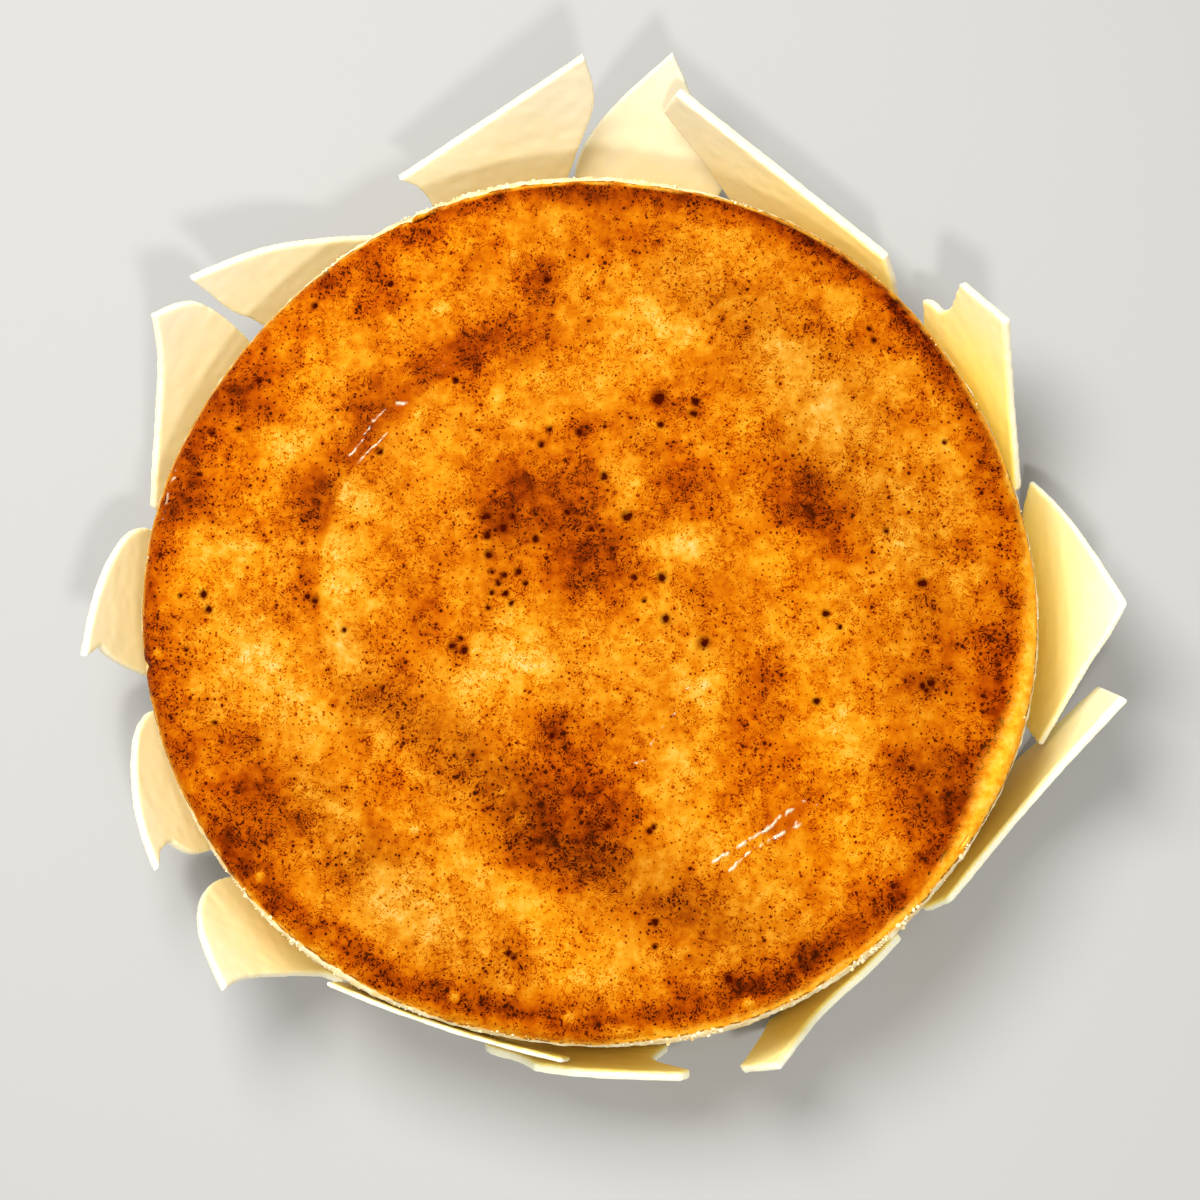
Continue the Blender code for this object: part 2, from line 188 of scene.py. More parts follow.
# Where the skin wrinkled up as it baked, with a wet shine and a painted highlight on each crest.
# Each: half width, height, path.
WRINKLES = (
    (0.45, 0.55, ((33, -66), (39, -62), (44, -59), (48, -56), (52, -53), (56, -50))),
    (0.40, 0.45, ((37, -68), (40, -65), (44, -62), (49, -59), (55, -56))),
    (0.30, 0.30, ((53, -56), (55, -55))),
    (0.30, 0.35, ((57, -53), (59, -51))),
    (0.45, 0.50, ((-56, 48), (-53, 51), (-50, 53), (-47, 53))),
    (0.35, 0.40, ((-62, 39), (-59, 43), (-57, 46), (-56, 49))),
    (0.30, 0.35, ((-60, 37), (-56, 41), (-52, 45))),
    (0.35, 0.35, ((-39, 62), (-37, 64))),
    (0.25, 0.25, ((-48, 56), (-45, 56))),
    (0.35, 0.40, ((23, -28), (22, -29))),
    (0.30, 0.35, ((21, -29), (20, -32))),
    (0.30, 0.35, ((19, -33), (17, -36))),
    (0.25, 0.30, ((16, -40), (13, -41))),
    (0.30, 0.30, ((30, -20), (29, -21))),
    (0.25, 0.30, ((27, -21), (26, -22))),
    (0.30, 0.35, ((-110, 22), (-109, 29), (-107, 35))),
    (0.30, 0.35, ((108, 33), (106, 40), (103, 46))),
)
# Smooth glazed hollows beside the wrinkles. Each row: x, y, radius, strength.
GLAZED = (
    (48, -57, 2.4, 0.7), (52, -55, 2.4, 0.9), (55, -52, 2.0, 0.8), (-61, 39, 2.6, 0.9),
    (-58, 42, 2.4, 0.7), (-50, 51, 3.0, 0.9), (-48, 54, 2.8, 0.7), (-40, 63, 3.0, 0.7),
    (-36, 65, 2.4, 0.6),
)
# Pale blisters of unbroken skin. Each row: x, y, radius, height.
BLISTERS = (
    (-9, 99, 1.8, 0.5), (-38, 79, 2.3, 0.5), (-40, 78, 1.6, 0.4), (-20, 93, 1.2, 0.4),
    (-32, -100, 1.3, 0.5), (-3, -105, 1.5, 0.5), (42, -101, 1.5, 0.5), (-82, -70, 1.4, 0.5),
    (-43, -58, 1.2, 0.4), (-110, -13, 1.5, 0.5), (-45, 104, 2.2, 0.6),
)

# The top's colours from burnt to cream, where it is bright orange and where it is tan.
ORANGE_TONES = (
    (0.05, (75, 12, 0)), (0.20, (160, 50, 0)), (0.35, (210, 88, 0)), (0.50, (236, 126, 2)),
    (0.65, (251, 166, 12)), (0.75, (253, 192, 50)), (0.90, (255, 227, 145)),
)
TAN_TONES = (
    (0.05, (60, 14, 2)), (0.20, (134, 48, 2)), (0.35, (185, 88, 4)), (0.50, (220, 126, 12)),
    (0.65, (242, 166, 45)), (0.75, (249, 192, 90)), (0.90, (253, 225, 155)),
)
# The shoulder's and the crumb's colours are divided by less than the top's: painted light, which makes them
# brighter to make up for the weaker light on the steep shoulder and side.
AMBER_LIGHT = 0.62 * TOP_LIGHT
CRUMB_LIGHT = 0.6 * TOP_LIGHT
AMBER_TONES = ((0.3, (240, 140, 14)), (0.5, (253, 175, 36)), (0.7, (255, 198, 78)))
CRUMB_TONES = ((0.3, (236, 198, 124)), (0.5, (250, 227, 170)), (0.7, (255, 242, 210)))
HALO_COLOUR = (125, 36, 0)
SPOT_COLOUR = (78, 16, 2)
# Painted highlight: the pale glint on the wrinkles' shiny crests.
GLINT_HIGHLIGHT_COLOUR = (255, 236, 190)
SEAM_COLOUR = (140, 52, 2)
# The tone that the top starts from, how far brown and pale patches and the ring move it, and the tones of
# the glazed hollows and the blisters.
BASE_TONE = 0.545
BROWN_DEPTH = 0.36
PALE_LIFT = 0.215
RING_DEPTH = 0.30
GLAZED_TONE = 0.33
BLISTER_TONE = 0.80
# Below this tone the worms and pores grow, over this range.
BROWN_TONE = 0.62
BROWN_RANGE = 0.37

# Where crumbs cling along the rim.
# Each row: first azimuth, last azimuth, how many, smallest radius, largest radius.
CRUMB_ARCS = (
    (78, 116, 90, 0.2, 0.6), (97, 108, 24, 0.3, 0.9), (66, 74, 8, 0.2, 0.5), (124, 128, 6, 0.3, 0.7),
    (218, 236, 50, 0.2, 0.8), (236, 250, 40, 0.2, 0.6), (254, 280, 24, 0.2, 0.45),
    (281, 288, 26, 0.3, 0.9), (296, 306, 10, 0.2, 0.5), (306, 318, 30, 0.3, 0.9), (326, 330, 6, 0.3, 0.7),
    (0, 360, 110, 0.15, 0.35),
)

# The chocolate around the cake. Each row: azimuth, how much painted yellow bounce light from the cake it
# takes, how pale it is painted as if more lit, and how wide the painted shade band beside the rim is, in mm.
CHOCOLATE = (
    (0, 1.0, 1.0, 0.0), (15, 1.1, 0.5, 0.0), (32, 1.2, 0.2, 0.0), (45, 0.9, 0.2, 0.5),
    (60, 0.8, 0.1, 1.0), (78, 0.6, 0.0, 2.2), (95, 0.4, 0.0, 2.6), (112, 0.2, 0.2, 2.6),
    (130, 0.2, 0.2, 2.2), (150, 0.3, 0.2, 1.4), (180, 0.3, 0.2, 1.8), (205, 0.3, 0.3, 1.2),
    (226, 0.6, 0.4, 0.6), (250, 0.7, 0.7, 0.0), (275, 1.2, 1.0, 0.0), (300, 1.1, 1.0, 0.0),
    (330, 1.0, 1.0, 0.0),
)
# How far the painted yellow bounce light from the cake reaches out from the rim.
BOUNCE_LIGHT_REACH = 13.0
# Painted shade: a dull olive band on the chocolate beside the cake's rim. Its strength, and below, its
# colour.
SHADE_STRENGTH = 0.55
# Painted highlight along the shards' sharp edges: how strong it is, and below, its colour.
EDGE_HIGHLIGHT_STRENGTH = 0.7
# Painted light: a lit and a shaded copy of the chocolate's colour, mixed by azimuth.
PAINTED_LIT_TONES = ((0.3, (254, 243, 208)), (0.7, (255, 248, 219)))
PAINTED_SHADED_TONES = ((0.3, (217, 207, 176)), (0.7, (224, 215, 187)))
# The colour of the painted bounce light that the cake throws onto the chocolate.
BOUNCE_LIGHT_COLOUR = (255, 222, 104)
SHADE_COLOUR = (150, 128, 72)
EDGE_HIGHLIGHT_COLOUR = (255, 252, 238)


def smooth_step(value):
    value = np.clip(value, 0.0, 1.0)
    return value * value * (3.0 - 2.0 * value)


def scatter(cells, seed):
    """A number from -1 to 1 for each whole-numbered cell, the same each run."""
    mixed = np.uint32(seed * 668265263 % 4294967296)
    for axis, prime in enumerate((73856093, 19349663, 83492791)):
        mixed = mixed ^ (cells[:, axis].astype(np.uint32) * np.uint32(prime))
    mixed = (mixed ^ (mixed >> np.uint32(13))) * np.uint32(1540483477)
    mixed = (mixed ^ (mixed >> np.uint32(15))) * np.uint32(2246822519)
    mixed = mixed ^ (mixed >> np.uint32(16))
    return mixed.astype(np.float64) / 2147483648.0 - 1.0


def noise(points, size, seed, octaves=1):
    """Smooth noise from about -1 to 1 at points (n, 3), whose lumps are about size across."""
    total = np.zeros(len(points))
    strength = 1.0
    for octave in range(octaves):
        place = points / size + 17.3 * octave
        cells = np.floor(place).astype(np.int64)
        part = smooth_step(place - cells)
        for corner in itertools.product((0, 1), repeat=3):
            weight = np.prod(np.where(corner, part, 1.0 - part), axis=1)
            total += strength * weight * scatter(cells + np.array(corner), seed + octave)
        size *= 0.5
        strength *= 0.5
    return total


# -------------------------------------------------------------------------------------- material nodes


def linear(colour, light=1.0):
    """The linear colour of a surface that shows as the sRGB colour, in 0 to 255, under a light."""
    parts = [part / 255.0 for part in colour]
    parts = [part / 12.92 if part <= 0.04045 else ((part + 0.055) / 1.055) ** 2.4 for part in parts]
    return tuple(part / light for part in parts) + (1.0,)


class Graph:
    """A material and short ways to add nodes to it."""

    def __init__(self, name):
        self.material = bpy.data.materials.new(name)
        self.material.use_nodes = True
        self.tree = self.material.node_tree
        self.shader = self.tree.nodes["Principled BSDF"]
        self.place = self.add("ShaderNodeTexCoord").outputs["Object"]

    def add(self, kind, **settings):
        node = self.tree.nodes.new(kind)
        for name, value in settings.items():
            setattr(node, name, value)
        return node

    def feed(self, socket, value):
        if isinstance(value, bpy.types.NodeSocket):
            self.tree.links.new(value, socket)
        else:
            socket.default_value = value

    def math(self, operation, *values):
        node = self.add("ShaderNodeMath", operation=operation)
        for socket, value in zip(node.inputs, values):
            self.feed(socket, value)
        return node.outputs[0]

    def noise(self, size, detail, roughness=0.5):
        node = self.add("ShaderNodeTexNoise")
        self.feed(node.inputs["Vector"], self.place)
        node.inputs["Scale"].default_value = 1.0 / (size * MM)
        node.inputs["Detail"].default_value = detail
        node.inputs["Roughness"].default_value = roughness
        return node.outputs["Fac"]

    def attribute(self, name):
        return self.add("ShaderNodeAttribute", attribute_name=name).outputs["Fac"]

    def range(self, value, low, high):
        """value carried smoothly from low..high to 0..1."""
        node = self.add("ShaderNodeMapRange", interpolation_type="SMOOTHSTEP")
        for socket, part in zip(node.inputs, (value, low, high)):
            self.feed(socket, part)
        return node.outputs[0]

    def ramp(self, value, stops, light=1.0):
        node = self.add("ShaderNodeValToRGB")
        elements = node.color_ramp.elements
        while len(elements) < len(stops):
            elements.new(0.5)
        for element, (position, colour) in zip(elements, stops):
            element.position = position
            element.color = linear(colour, light)
        self.feed(node.inputs[0], value)
        return node.outputs["Color"]

    def mix(self, factor, first, second):
        node = self.add("ShaderNodeMix", data_type="RGBA")
        self.feed(node.inputs[0], factor)
        self.feed(node.inputs[6], first)
        self.feed(node.inputs[7], second)
        return node.outputs[2]

    def bump(self, height, depth, strength):
        node = self.add("ShaderNodeBump")
        node.inputs["Strength"].default_value = strength
        node.inputs["Distance"].default_value = depth * MM
        self.feed(node.inputs["Height"], height)
        self.feed(self.shader.inputs["Normal"], node.outputs["Normal"])


def place_piece(name, mesh, material):
    """The mesh as a smooth piece of the cheesecake."""
    piece = bpy.data.objects.new(name, mesh)
    bpy.context.scene.collection.objects.link(piece)
    mesh.materials.clear()
    mesh.materials.append(material)
    mesh.shade_smooth()
    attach(piece, "root")
    return piece


def add_piece(name, points, faces, material):
    mesh = bpy.data.meshes.new(name)
    mesh.from_pydata((points * MM).tolist(), [], faces)
    mesh.update()
    return place_piece(name, mesh, material)


def store(mesh, name, values):
    attribute = mesh.attributes.new(name, "FLOAT", "POINT")
    attribute.data.foreach_set("value", np.asarray(values, np.float32))


# ------------------------------------------------------------------------------------ the cake's shape


class Outline:
    """The CAD cake's radius at each azimuth, at its widest and at its foot, and its height."""

    def __init__(self):
        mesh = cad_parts["cake"].data
        places = np.empty(len(mesh.vertices) * 3)
        mesh.vertices.foreach_get("co", places)
        places = places.reshape(-1, 3) / MM
        radius = np.hypot(places[:, 0], places[:, 1])
        turn = np.round(np.degrees(np.arctan2(places[:, 1], places[:, 0])), 2) % 360.0
        self.turns = np.unique(turn[radius > radius.max() * 0.9])
        self.rim = np.array([radius[turn == at].max() for at in self.turns])
        low = places[:, 2] < 1.0
        self.foot = np.array([radius[(turn == at) & low].max() for at in self.turns])
        self.height = places[:, 2].max()

    def at(self, azimuth, ring):
        return np.interp(np.degrees(azimuth) % 360.0, self.turns, ring, period=360.0)


def disc_grid(cells):
    """A square grid pressed out into a unit disc: radius 0 to 1, azimuth, quads and the rim's points."""
    line = np.linspace(-1.0, 1.0, cells + 1)
    b, a = np.meshgrid(line, line, indexing="ij")
    a = a.ravel()
    b = b.ravel()
    wide = np.abs(a) > np.abs(b)
    first = np.where(wide, a, b)
    second = np.where(wide, b, a)
    share = np.divide(second, first, out=np.zeros_like(first), where=first != 0.0) * math.pi / 4.0
    azimuth = np.where(wide, share, math.pi / 2.0 - share) + np.where(first < 0.0, math.pi, 0.0)
    index = np.arange((cells + 1) ** 2).reshape(cells + 1, cells + 1)
    quads = np.stack([index[:-1, :-1], index[:-1, 1:], index[1:, 1:], index[1:, :-1]], -1).reshape(-1, 4)
    rim = np.concatenate([index[0, :-1], index[:-1, -1], index[-1, :0:-1], index[:0:-1, 0]])
    return np.abs(first), azimuth, quads, rim


def on_top(x, y):
    return np.stack([x, y, np.zeros_like(x)], -1)


def round_rim(azimuth, table, column):
    """A table's column at each azimuth in radians, even between its rows."""
    turns = [row[0] for row in table]
    return np.interp(np.degrees(azimuth) % 360.0, turns, [row[column] for row in table], period=360.0)


def patch_level(x, y, patches):
    """How strongly the patches cover each place, from 0."""
    level = np.zeros_like(x)
    for px, py, radius, strength in patches:
        level += strength * np.exp(-((x - px) ** 2 + (y - py) ** 2) / (radius * radius))
    return level


def spot_level(x, y):
    """1 in the middle of a dark spot, 0.5 at its edge and 0 at twice its radius."""
    level = np.zeros_like(x)
    for px, py, radius in DARK_SPOTS:
        level = np.maximum(level, 1.0 - 0.5 * np.hypot(x - px, y - py) / radius)
    for radius, path in CREASES:
        level = np.maximum(level, 1.0 - 0.5 * path_distance(x, y, path) / radius)
    return level


def path_distance(x, y, path):
    """The distance from each place to a chain of straight lines."""
    nearest = np.full_like(x, np.inf)
    for (ax, ay), (bx, by) in zip(path, path[1:]):
        along = ((x - ax) * (bx - ax) + (y - ay) * (by - ay)) / ((bx - ax) ** 2 + (by - ay) ** 2)
        along = np.clip(along, 0.0, 1.0)
        nearest = np.minimum(nearest, np.hypot(x - ax - along * (bx - ax), y - ay - along * (by - ay)))
    return nearest


def wrinkle_height(x, y):
    """The wrinkles' height in mm, broken into beads along each crest."""
    places = on_top(x, y)
    wave = 0.25 * noise(places, 1.6, 41)
    height = np.zeros_like(x)
    for width, tall, path in WRINKLES:
        crest = np.exp(-((path_distance(x + wave, y - wave, path) / width) ** 2))
        height = np.maximum(height, 0.6 * tall * crest)
    return height * np.clip(0.75 + 0.8 * noise(places, 1.1, 42), 0.0, 1.5)


def fine_level(x, y):
    """Each place's distance from the nearest small form, as a share of that form's reach."""
    level = np.full_like(x, np.inf)
    for px, py, radius in DARK_SPOTS:
        level = np.minimum(level, np.hypot(x - px, y - py) / (1.3 * radius))
    for px, py, radius, _ in BLISTERS:
        level = np.minimum(level, np.hypot(x - px, y - py) / (1.2 * radius))
    for width, _, path in WRINKLES:
        level = np.minimum(level, path_distance(x, y, path) / (2.2 * width))
    for radius, path in CREASES:
        level = np.minimum(level, path_distance(x, y, path) / (2.0 * radius))
    return level


def disc_edge(x, y):
    """How far inside the proud disc's edge each place is, how strongly the edge shows, its step's width."""
    dx = x - DISC_CENTRE[0]
    dy = y - DISC_CENTRE[1]
    away = np.degrees(np.arctan2(dy, dx)) - DISC_AZIMUTH
    away = (away + 180.0) % 360.0 - 180.0
    width = 1.6 + 6.0 * smooth_step((away + 5.0) / 50.0)
    return DISC_RADIUS - np.hypot(dx, dy), smooth_step(1.6 - np.abs(away) / DISC_SPREAD), width


def amber_level(azimuth, inward):
    """1 on the amber shoulder at the skin's edge, and 0 inside it."""
    return smooth_step(1.3 - inward / round_rim(azimuth, EDGE, 2))


def browning(x, y, azimuth, inward):
    """The top's tone at each place, 0 for burnt to 1 for cream. inward: how far inside the skin's edge."""
    places = on_top(x, y)
    wx = x + 1.6 * noise(places, 12.0, 3) + 1.0 * noise(places, 4.0, 4)
    wy = y + 1.6 * noise(places, 12.0, 5) + 1.0 * noise(places, 4.0, 6)
    tone = np.full_like(x, BASE_TONE)
    tone -= BROWN_DEPTH * np.tanh(patch_level(wx, wy, BROWN_PATCHES))
    tone += PALE_LIFT * np.tanh(patch_level(wx, wy, PALE_PATCHES))
    inside, shown, width = disc_edge(x, y)
    # Painted light just inside the proud disc's step and painted shade just outside it.
    over = smooth_step(inside / width + 0.5)
    tone += shown * 0.15 * (over - 0.55) * np.exp(-((inside / 9.0) ** 2))
    ragged = 1.2 * noise(places, 3.0, 7) + 0.8 * noise(places, 7.0, 8)
    fringe = inward - round_rim(azimuth, RING, 2) + ragged
    width = np.where(fringe > 0.0, RING_WIDTH * 1.5, RING_WIDTH * 0.7)
    tone -= RING_DEPTH * round_rim(azimuth, RING, 1) * np.exp(-(fringe / width) ** 2)
    tone += 0.07 * noise(places, 8.0, 9, octaves=2) + 0.07 * noise(places, 4.0, 10, octaves=2)
    glazed = np.tanh(1.5 * patch_level(x, y, GLAZED))
    tone += glazed * (GLAZED_TONE - tone)
    blister = np.tanh(patch_level(x, y, [(px, py, radius, 1.0) for px, py, radius, _ in BLISTERS]))
    tone += blister * (BLISTER_TONE - tone)
    return tone


def dullness(x, y):
    """How tan the top's brown is at each place, from 0 for bright orange to 1."""
    places = on_top(x, y)
    duller = 0.65 * np.tanh(patch_level(x, y, TAN_PATCHES))
    brighter = 0.42 * np.tanh(patch_level(x, y, ORANGE_PATCHES))
    return np.clip(0.42 + duller - brighter + 0.12 * noise(places, 6.0, 14, octaves=2), 0.0, 1.0)


def brownness(tone):
    """0 where the top is pale, 1 where it is brown."""
    return smooth_step((BROWN_TONE - tone) / BROWN_RANGE)


def worm_level(x, y, tone):
    """How strongly the fine winding marks show: in islands, and most where the top is brown."""
    places = on_top(x, y)
    islands = smooth_step(0.8 + 1.1 * noise(places, 3.4, 12) + 0.5 * noise(places, 9.0, 13))
    return islands * (0.9 + 0.25 * brownness(tone))


def pore_level(x, y, tone):
    """How large the pinholes are at each place: in clusters, and largest where the top is brown."""
    places = on_top(x, y)
    clusters = 0.85 + 0.5 * noise(places, 6.0, 15) + 0.3 * noise(places, 2.5, 16)
    return np.clip(clusters + 0.2 * brownness(tone), 0.0, 1.4)


def top_relief(x, y, inward):
    """The height in mm that the top's own forms add."""
    places = on_top(x, y)
    height = 0.35 * noise(places, 30.0, 21) + 0.12 * noise(places, 9.0, 22) + 0.05 * noise(places, 3.0, 23)
    inside, shown, width = disc_edge(x, y)
    height += DISC_STEP * shown * smooth_step(inside / (width + 1.0) + 0.5)
    height -= TOP_SINK * smooth_step((inward - SINK_START) / SINK_WIDTH)
    height -= SPOT_DEPTH * smooth_step(spot_level(x, y) * 1.6 - 0.4)
    height += wrinkle_height(x, y)
    height -= GLAZED_DEPTH * np.tanh(patch_level(x, y, GLAZED))
    for px, py, radius, tall in BLISTERS:
        height += tall * np.exp(-((x - px) ** 2 + (y - py) ** 2) / (0.5 * radius * radius))
    return height


def edge_rings(widest, foot):
    """The rings below the top's net, down the shoulder and side. Each: out, up and angle at each azimuth."""
    rings = []
    first = math.radians(SHOULDER_TURN)
    for ring in range(1, SHOULDER_RINGS + 1):
        tilt = first + (math.pi / 2.0 - first) * ring / SHOULDER_RINGS
        out = widest - SHOULDER_WIDTH * (1.0 - math.sin(tilt))
        rings.append((out, outline.height - SHOULDER_DEPTH * (1.0 - math.cos(tilt)), tilt))
    top_of_side = outline.height - SHOULDER_DEPTH
    for ring in range(1, SIDE_RINGS + 1):
        height = top_of_side * (1.0 - ring / SIDE_RINGS)
        bulge = math.sin(height / top_of_side * math.pi / 2.0)
        edge = FOOT_ROUND if ring == SIDE_RINGS else 0.0
        rings.append((foot + (widest - foot) * bulge - edge, height, math.pi / 2.0))
    return [[np.broadcast_to(value, widest.shape) for value in ring] for ring in rings]


def cake_surface():
    """The whole cake as one closed mesh: each point's distance out, height, angle and azimuth; the faces."""
    radius, azimuth, quads, rim = disc_grid(TOP_CELLS)
    shoulder = math.radians(SHOULDER_TURN)
    reach = outline.at(azimuth, outline.rim)
    flat = reach - SHOULDER_WIDTH
    along = radius * (flat + SHOULDER_WIDTH * shoulder)
    angle = np.clip((along - flat) / SHOULDER_WIDTH, 0.0, shoulder)
    out = np.where(along < flat, along, flat + SHOULDER_WIDTH * np.sin(angle))
    up = outline.height - SHOULDER_DEPTH * (1.0 - np.cos(angle))
    turns = azimuth[rim]
    rings = edge_rings(reach[rim], outline.at(turns, outline.foot))
    out = np.concatenate([out] + [ring[0] for ring in rings])
    up = np.concatenate([up] + [ring[1] for ring in rings])
    angle = np.concatenate([angle] + [ring[2] for ring in rings])
    azimuth = np.concatenate([azimuth] + [turns] * len(rings))
    first = len(radius)
    count = len(rim)
    order = [rim] + [first + row * count + np.arange(count) for row in range(len(rings))]
    strips = []
    for upper, lower in zip(order, order[1:]):
        strips.append(np.stack([upper, lower, np.roll(lower, -1), np.roll(upper, -1)], -1))
    faces = np.concatenate([quads] + strips).tolist()
    faces.append(order[-1][::-1].tolist())
    return out, up, angle, azimuth, faces


def refined(points, faces, angle):
    """The net split finer around the small forms of the top: new points, faces and angles."""
    net = bmesh.new()
    layer = net.verts.layers.float.new("angle")
    made = [net.verts.new(point) for point in points]
    for point, value in zip(made, angle):
        point[layer] = value
    for face in faces:
        net.faces.new([made[index] for index in face])
    for reach in FINE_REACH:
        net.verts.ensure_lookup_table()
        net.verts.index_update()
        places = np.array([point.co[:2] for point in net.verts])
        near = fine_level(places[:, 0], places[:, 1]) < reach
        flat = np.array([point[layer] < FINE_TURN for point in net.verts])
        near &= flat
        split = [edge for edge in net.edges if near[edge.verts[0].index] or near[edge.verts[1].index]]
        bmesh.ops.subdivide_edges(net, edges=split, cuts=1, use_grid_fill=True)
    net.verts.index_update()
    places = np.array([point.co[:] for point in net.verts])
    angle = np.array([point[layer] for point in net.verts])
    faces = [[point.index for point in face.verts] for face in net.faces]
    net.free()
    return places, faces, angle


def build_cake():
    out, up, angle, azimuth, faces = cake_surface()
    places = np.stack([out * np.cos(azimuth), out * np.sin(azimuth), up], -1)
    places, faces, angle = refined(places, faces, angle)
    x, y, up = places.T
    out = np.hypot(x, y)
    azimuth = np.arctan2(y, x)
    flatness = np.cos(angle)
    below = SHOULDER_DEPTH * smooth_step((angle - 1.2) / 0.35)
    rim = outline.at(azimuth, outline.rim)
    crumb = round_rim(azimuth, EDGE, 1) + 0.25 * noise(places, 1.8, 35) + 0.2 * noise(places, 5.0, 36)
    skin = np.where(angle < 1.5, rim - out, 0.0) - crumb - below
    grip = smooth_step((up - 1.0) / 4.0)
    bulk = top_relief(x, y, rim - out) * smooth_step(flatness * 2.0)
    crumble = 0.35 * noise(places, 2.2, 31, octaves=2) + 0.2 * noise(places, 6.0, 32)
    push = bulk + crumble * smooth_step(0.3 - skin) * grip
    normal = np.stack([np.cos(azimuth) * np.sin(angle), np.sin(azimuth) * np.sin(angle), flatness], -1)
    points = places + normal * push[:, None]
    points[:, 2] = np.clip(points[:, 2], 0.0, None)
    cake = add_piece("cheesecake", points, faces, cake_material())
    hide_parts("cake")
    browned = browning(x, y, azimuth, skin)
    store(cake.data, "tone", browned)
    ragged_x = x + 0.45 * noise(places, 1.3, 33)
    ragged_y = y + 0.45 * noise(places, 1.3, 34)
    store(cake.data, "spot", spot_level(ragged_x, ragged_y))
    store(cake.data, "skin", skin)
    store(cake.data, "worms", worm_level(x, y, browned))
    store(cake.data, "pores", pore_level(x, y, browned))
    store(cake.data, "dull", dullness(x, y))
    store(cake.data, "amber", amber_level(azimuth, skin))
    # The crests' shine, for the coat and for the painted highlight.
    store(cake.data, "wet_and_glint", smooth_step(wrinkle_height(x, y) * 8.0 - 0.9))
    store(cake.data, "glazed", np.tanh(patch_level(x, y, GLAZED)))


def bubbles(graph, spacing):
    """Scattered points, one in each cell: the distance to the nearest, over spacing, and its chance."""
    node = graph.add("ShaderNodeTexVoronoi", voronoi_dimensions="2D")
    graph.feed(node.inputs["Vector"], graph.place)
    node.inputs["Scale"].default_value = 1.0 / (spacing * MM)
    chance = graph.add("ShaderNodeSeparateColor")
    graph.feed(chance.inputs[0], node.outputs["Color"])
    return node.outputs["Distance"], graph.math("POWER", chance.outputs[0], 1.6)


def pores(graph, points, small, large, crowding):
    """Dark pinholes at the points, small to large as shares of their spacing: 1 in a hole and 0 outside."""
    distance, chance = points
    size = graph.math("MULTIPLY", graph.math("MULTIPLY_ADD", chance, large - small, small), crowding)
    return graph.range(distance, graph.math("MULTIPLY", size, 1.35), graph.math("MULTIPLY", size, 0.6))


def contours(graph, size, lines, width):
    """Thin winding lines, as on a map of hills: 1 on a line and 0 off it."""
    hills = graph.math("MULTIPLY", graph.noise(size, 1.0), lines)
    return graph.range(graph.math("PINGPONG", hills, 0.5), width, 0.0)


def fine_marks(graph, grain, rough):
    """The worms, pinholes, halos and grain as a change of tone, and the close pinholes alone."""
    worms = graph.math("MULTIPLY", contours(graph, 2.0, 6.5, 0.32), graph.attribute("worms"))
    worms = graph.math("MULTIPLY", worms, graph.range(graph.noise(1.3, 0.0), 0.36, 0.54))
    crowding = graph.attribute("pores")
    wide = bubbles(graph, 4.6)
    close = pores(graph, bubbles(graph, 1.9), 0.05, 0.148, crowding)
    holes = graph.math("MAXIMUM", close, pores(graph, wide, 0.0, 0.10, crowding))
    halos = pores(graph, wide, 0.02, 0.37, crowding)
    marks = graph.math("MULTIPLY", grain, 0.50)
    for level, depth in ((worms, -0.30), (holes, -0.37), (halos, -0.06)):
        marks = graph.math("MULTIPLY_ADD", level, depth, marks)
    return graph.math("MULTIPLY", marks, graph.math("MULTIPLY_ADD", rough, 0.75, 0.25)), close


def skin_colour(graph, tone, grain, spot, wet_and_glint):
    """The browned skin, with its burst bubbles, its shiny crests painted pale as highlights and its amber
    shoulder.
    """
    orange = graph.ramp(tone, ORANGE_TONES, TOP_LIGHT)
    tan = graph.ramp(tone, TAN_TONES, TOP_LIGHT)
    skin = graph.mix(graph.attribute("dull"), orange, tan)
    halo = graph.math("MULTIPLY", graph.range(graph.attribute("spot"), 0.0, 0.75), 0.75)
    skin = graph.mix(halo, skin, linear(HALO_COLOUR, TOP_LIGHT))
    skin = graph.mix(spot, skin, linear(SPOT_COLOUR, TOP_LIGHT))
    # Painted highlight: the shiny crests painted pale, as glints.
    skin = graph.mix(graph.math("MULTIPLY", wet_and_glint, 0.8), skin, linear(GLINT_HIGHLIGHT_COLOUR, TOP_LIGHT))
    amber = graph.ramp(graph.math("ADD", grain, 0.5), AMBER_TONES, AMBER_LIGHT)
    return graph.mix(graph.attribute("amber"), skin, amber)


def crust_colour(graph, skin, grain):
    """The skin's colour inside its ragged edge, the crumb's outside it, and dark dashes along the seam."""
    ragged = graph.math("MULTIPLY_ADD", grain, 1.6, graph.attribute("skin"))
    seam = graph.range(graph.math("ABSOLUTE", graph.math("SUBTRACT", ragged, 0.3)), 0.35, 0.1)
    dashes = graph.math("MULTIPLY", seam, graph.range(grain, -0.02, 0.04))
    skin = graph.mix(graph.math("MULTIPLY", dashes, 0.75), skin, linear(SEAM_COLOUR, TOP_LIGHT))
    crumb = graph.ramp(graph.math("ADD", grain, 0.5), CRUMB_TONES, CRUMB_LIGHT)
    return graph.mix(graph.range(ragged, 0.15, -0.15), skin, crumb)


